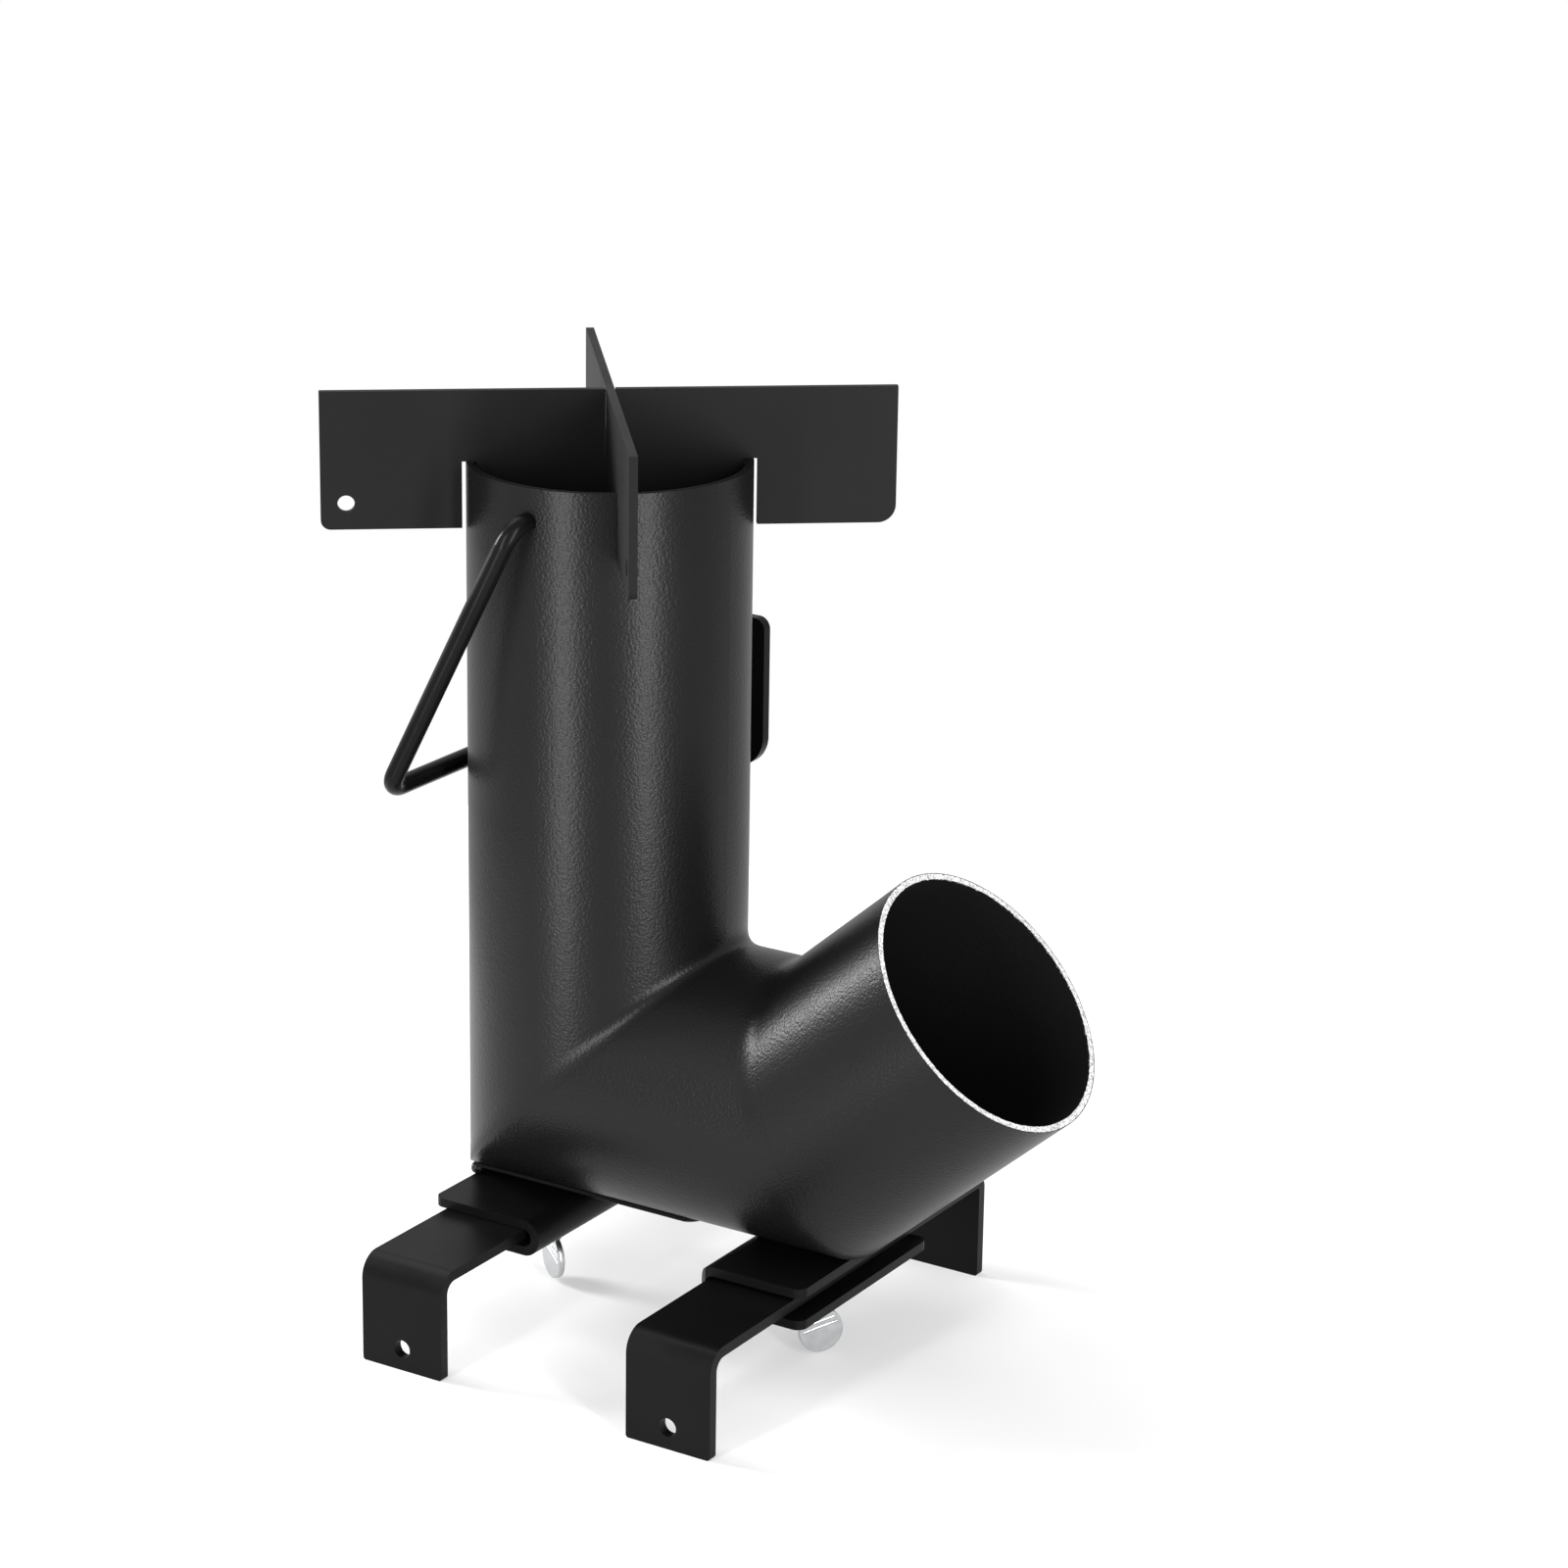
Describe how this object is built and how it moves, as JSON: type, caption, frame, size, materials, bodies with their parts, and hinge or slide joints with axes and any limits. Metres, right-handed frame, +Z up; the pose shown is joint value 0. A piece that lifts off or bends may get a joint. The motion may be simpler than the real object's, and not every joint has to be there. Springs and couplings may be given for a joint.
{
  "type": "rocket stove",
  "caption": "Wood-burning rocket stove: upright riser, slanted feed tube, clamped leg bars, swinging carrying bail and lift-off cross that holds a pan.",
  "frame": {"origin": "centre of the footprint's bounding box, on the floor", "axes": "+Z up, +X towards the feed tube's mouth, +Y towards the side that carries the flat tab"},
  "size_m": [0.2736, 0.1916, 0.348],
  "materials": {
    "tube_coat": "high-temperature black powder coat with a fine orange peel",
    "bracket_coat": "satin black powder coat",
    "leg_coat": "satin black powder coat on flat bar",
    "bail_coat": "semi-gloss black paint on round rod",
    "support_coat": "matt black heat-resistant paint",
    "zinc": "bright zinc plate"
  },
  "bodies": {
    "stove_body": {"riser_tube": "tube_coat", "burn_tube": "tube_coat", "feed_tube": "tube_coat", "saddle_plate": "bracket_coat", "rear_bracket": "bracket_coat", "front_bracket": "bracket_coat", "side_tab": "bracket_coat"},
    "rear_leg_bar": {"rear_leg_bar": "leg_coat"},
    "front_leg_bar": {"front_leg_bar": "leg_coat"},
    "rear_thumb_screw": {"rear_thumb_screw": "zinc"},
    "front_thumb_screw": {"front_thumb_screw": "zinc"},
    "carrying_bail": {"carrying_bail": "bail_coat"},
    "lower_pot_support": {"lower_pot_support": "support_coat"},
    "upper_pot_support": {"upper_pot_support": "support_coat"}
  },
  "joints": [
    {"name": "bail_swing", "type": "hinge", "parent": "stove_body", "child": "carrying_bail", "pos_m": [-0.05572, 0, 0.31], "axis": [0, 1, 0], "range_deg": [0, 42]},
    {"name": "lower_support_lift", "type": "slide", "parent": "stove_body", "child": "lower_pot_support", "axis": [0, 0, 1], "range_m": [0, 0.06]},
    {"name": "upper_support_lift", "type": "slide", "parent": "lower_pot_support", "child": "upper_pot_support", "axis": [0, 0, 1], "range_m": [0, 0.06]},
    {"name": "rear_bar_slide", "type": "slide", "parent": "stove_body", "child": "rear_leg_bar", "axis": [-1, 0, 0], "range_m": [0, 0.045]},
    {"name": "front_bar_slide", "type": "slide", "parent": "stove_body", "child": "front_leg_bar", "axis": [1, 0, 0], "range_m": [0, 0.045]},
    {"name": "rear_screw_turn", "type": "hinge", "parent": "stove_body", "child": "rear_thumb_screw", "pos_m": [-0.08042, 0, 0.01], "axis": [0, 0, -1], "range_deg": [0, 2052]},
    {"name": "front_screw_turn", "type": "hinge", "parent": "stove_body", "child": "front_thumb_screw", "pos_m": [0.03788, 0, 0.01], "axis": [0, 0, -1], "range_deg": [0, 2052]}
  ]
}
